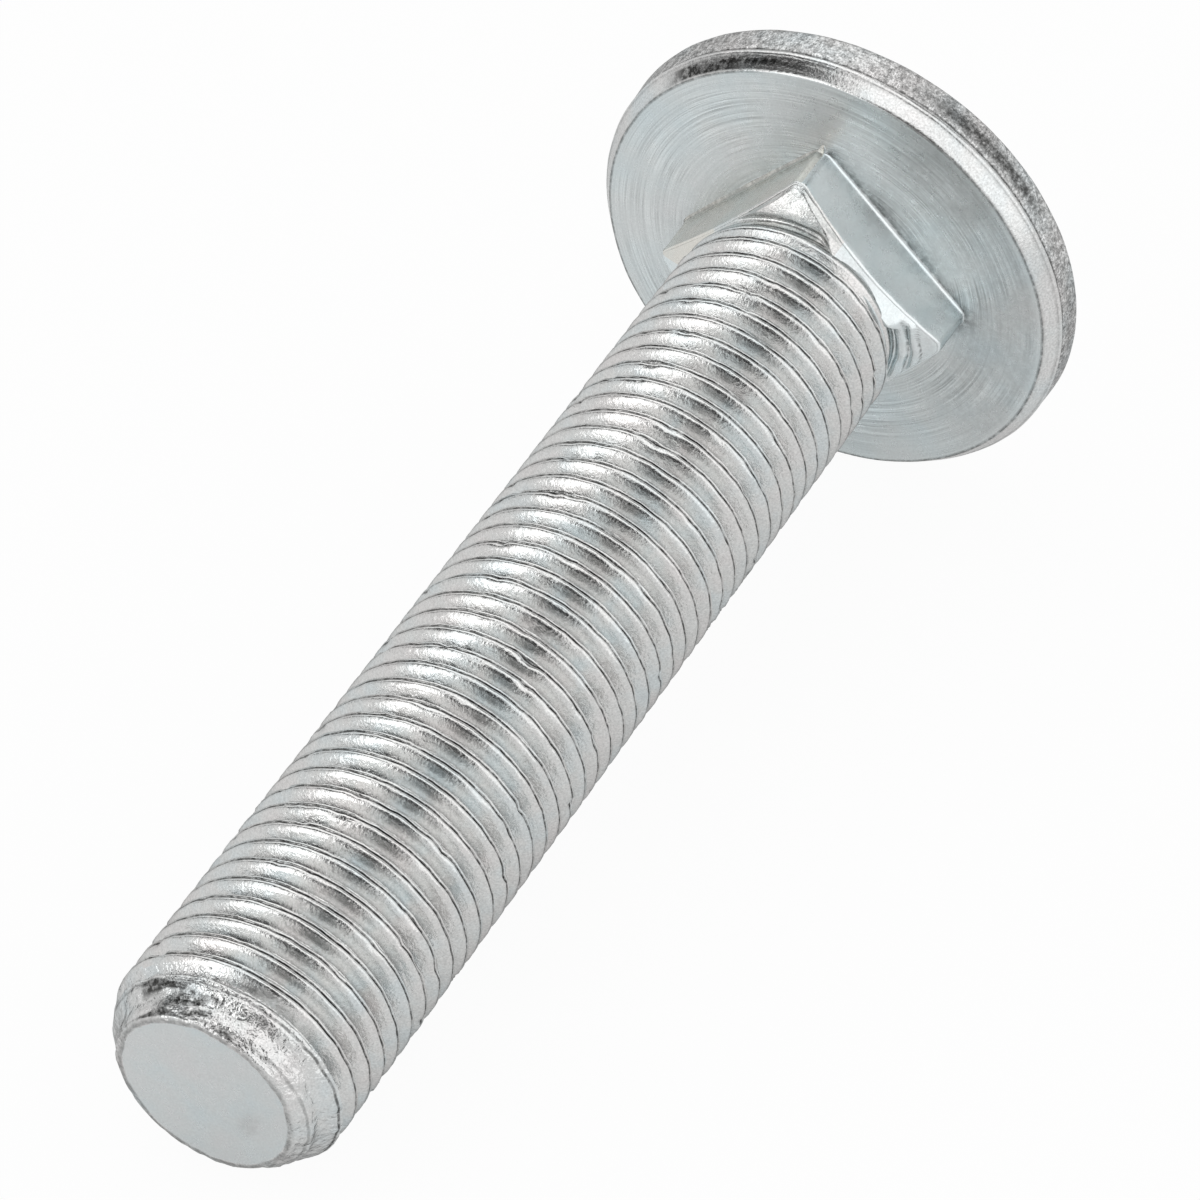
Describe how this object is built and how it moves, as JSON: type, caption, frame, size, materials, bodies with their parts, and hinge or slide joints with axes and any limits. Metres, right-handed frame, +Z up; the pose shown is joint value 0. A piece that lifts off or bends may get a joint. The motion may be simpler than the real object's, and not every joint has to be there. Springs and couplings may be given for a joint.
{
  "type": "carriage bolt",
  "caption": "Carriage bolt with a shallow domed head, a short square neck under it and a fine thread over the full length of its shank.",
  "frame": {"origin": "on the surface that the bolt lies on, under the centre of its box", "axes": "+X towards the domed head, -X towards the point, +Z up, with the bolt's own axis sloping down to the point in the XZ plane"},
  "size_m": [0.0672, 0.0254, 0.0254],
  "materials": {
    "zinc": "bright zinc plating with a faint blue cast, satin on the faces and grainy on the rim and the point"
  },
  "bodies": {
    "root": {"bolt": "zinc"}
  },
  "joints": []
}
